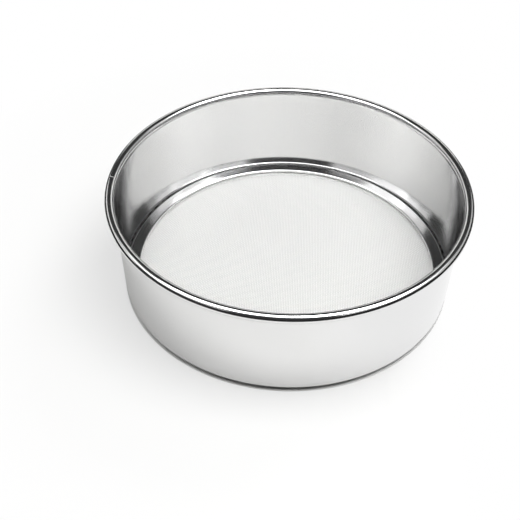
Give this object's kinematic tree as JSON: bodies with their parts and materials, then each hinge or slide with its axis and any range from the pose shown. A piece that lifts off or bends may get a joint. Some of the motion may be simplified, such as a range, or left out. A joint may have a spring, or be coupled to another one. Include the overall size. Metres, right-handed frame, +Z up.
{
  "type": "flour sieve",
  "caption": "Round shallow flour sieve: a polished steel hoop with a rolled rim, open at the top, and a flat fine wire screen held in its base by a ring.",
  "frame": {"origin": "centre of the flat ring that the sieve stands on", "axes": "+Z up along the sieve's axis, from the base towards the open rim"},
  "size_m": [0.18, 0.18, 0.0548],
  "materials": {
    "polished_steel": "bright polished stainless sheet",
    "drawn_wire": "drawn stainless wire",
    "woven_wire": "fine woven stainless wire"
  },
  "bodies": {
    "root": {"frame_hoop": "polished_steel", "rim_wire": "drawn_wire", "wire_cloth": "woven_wire", "retaining_ring": "polished_steel"}
  },
  "joints": []
}
